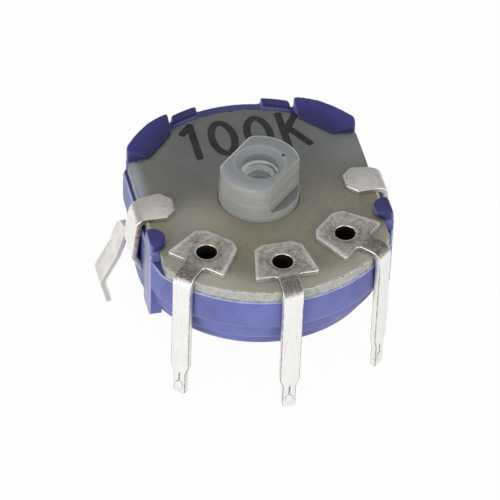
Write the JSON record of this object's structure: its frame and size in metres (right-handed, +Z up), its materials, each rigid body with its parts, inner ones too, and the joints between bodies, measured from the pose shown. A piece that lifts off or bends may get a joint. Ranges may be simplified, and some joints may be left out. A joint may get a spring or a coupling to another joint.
{
  "type": "rotary potentiometer",
  "caption": "Round open-face rotary potentiometer: moulded cup, resistor board with riveted terminals, side clips with board legs, and a double-D rotor hub with a screw hole.",
  "frame": {"origin": "on the rotor axis, at the level of the circuit board's face that the terminals seat on", "axes": "+Z up along the rotor axis towards the hub, -Y towards the terminals, X across the two side clips"},
  "size_m": [0.0225, 0.0218, 0.0144],
  "materials": {
    "housing": "moulded satin violet blue",
    "board": "grey-olive paper laminate",
    "carbon": "printed carbon",
    "silver_print": "printed silver",
    "terminal": "tinned sheet, dull on the lugs",
    "clip": "tinned spring sheet",
    "rotor": "translucent grey-white moulding",
    "wiper": "spring bronze"
  },
  "bodies": {
    "base": {"housing": "housing", "resistor_board": "board", "resistive_track": "carbon", "collector_track": "silver_print", "end_pads": "silver_print", "terminal_left": "terminal", "terminal_middle": "terminal", "terminal_right": "terminal", "clip_left": "clip", "clip_right": "clip"},
    "rotor": {"rotor": "rotor", "wiper_contact": "wiper"}
  },
  "joints": [
    {"name": "rotor_turn", "type": "hinge", "parent": "base", "child": "rotor", "pos_m": [0, 0, 0], "axis": [0, 0, 1], "range_deg": [-84, 176]}
  ]
}
